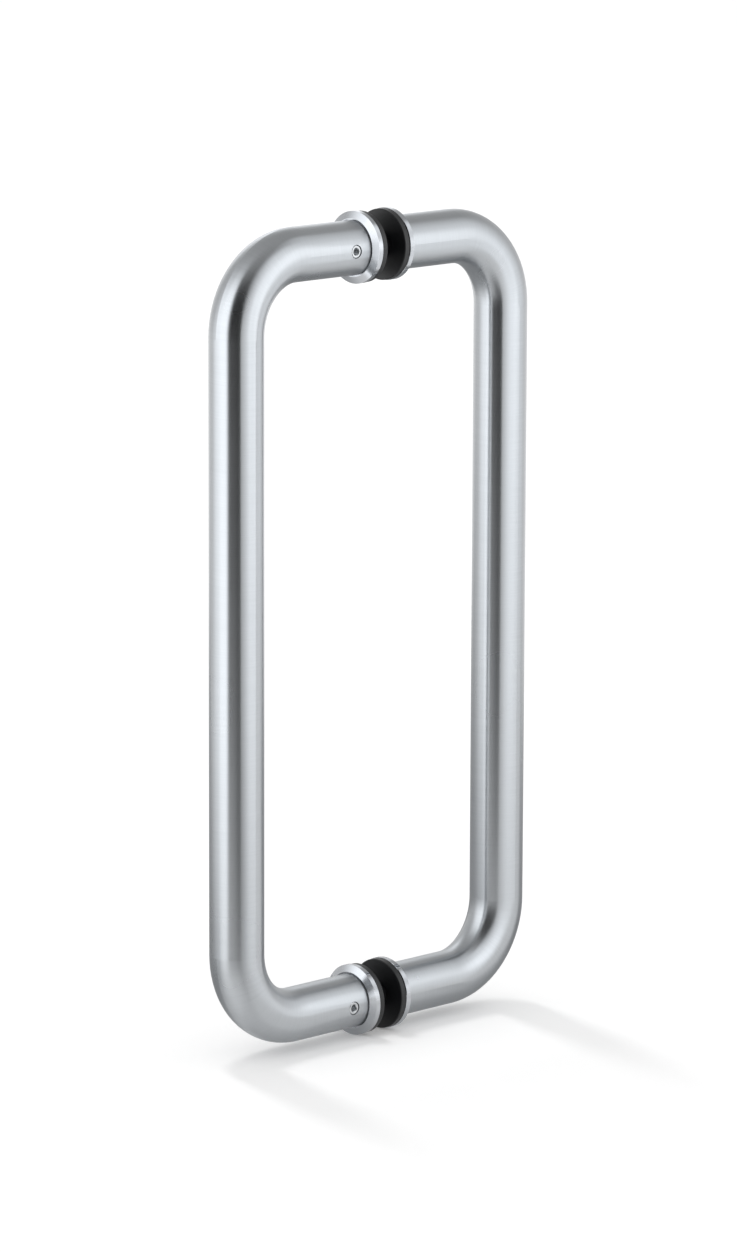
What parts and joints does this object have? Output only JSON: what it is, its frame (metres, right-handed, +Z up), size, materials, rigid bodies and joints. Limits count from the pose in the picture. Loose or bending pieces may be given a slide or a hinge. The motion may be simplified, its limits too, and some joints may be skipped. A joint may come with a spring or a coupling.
{
  "type": "door push handle",
  "caption": "Pair of D-shaped tubular door handles clamped back to back through a glass door, with bevelled roses, rubber gaskets and hidden bolts held by set screws.",
  "frame": {"origin": "middle of the glass that the handles clamp, half way between the two arms", "axes": "+Z up along the grips, -Y out of the front of the door, along the arms of the handle with the set screws, +X along the glass, on the side where the set screws face"},
  "size_m": [0.033, 0.193, 0.383],
  "materials": {
    "tube": "satin, brushed round the tube and along the grip",
    "rose": "turned and brushed bevel, bright rim",
    "gasket": "smooth black rubber",
    "sleeve": "black nylon tube",
    "bolt": "turned stainless steel",
    "insert": "turned stainless steel",
    "set_screw": "bright stainless steel"
  },
  "bodies": {
    "root": {"front_tube": "tube", "rear_tube": "tube", "front_insert_upper": "insert", "front_insert_lower": "insert", "rear_insert_upper": "insert", "rear_insert_lower": "insert", "bolt_upper": "bolt", "bolt_lower": "bolt", "front_rose_upper": "rose", "front_rose_lower": "rose", "rear_rose_upper": "rose", "rear_rose_lower": "rose", "front_gasket_upper": "gasket", "front_gasket_lower": "gasket", "rear_gasket_upper": "gasket", "rear_gasket_lower": "gasket", "sleeve_upper": "sleeve", "sleeve_lower": "sleeve", "set_screw_upper": "set_screw", "set_screw_lower": "set_screw"}
  },
  "joints": []
}
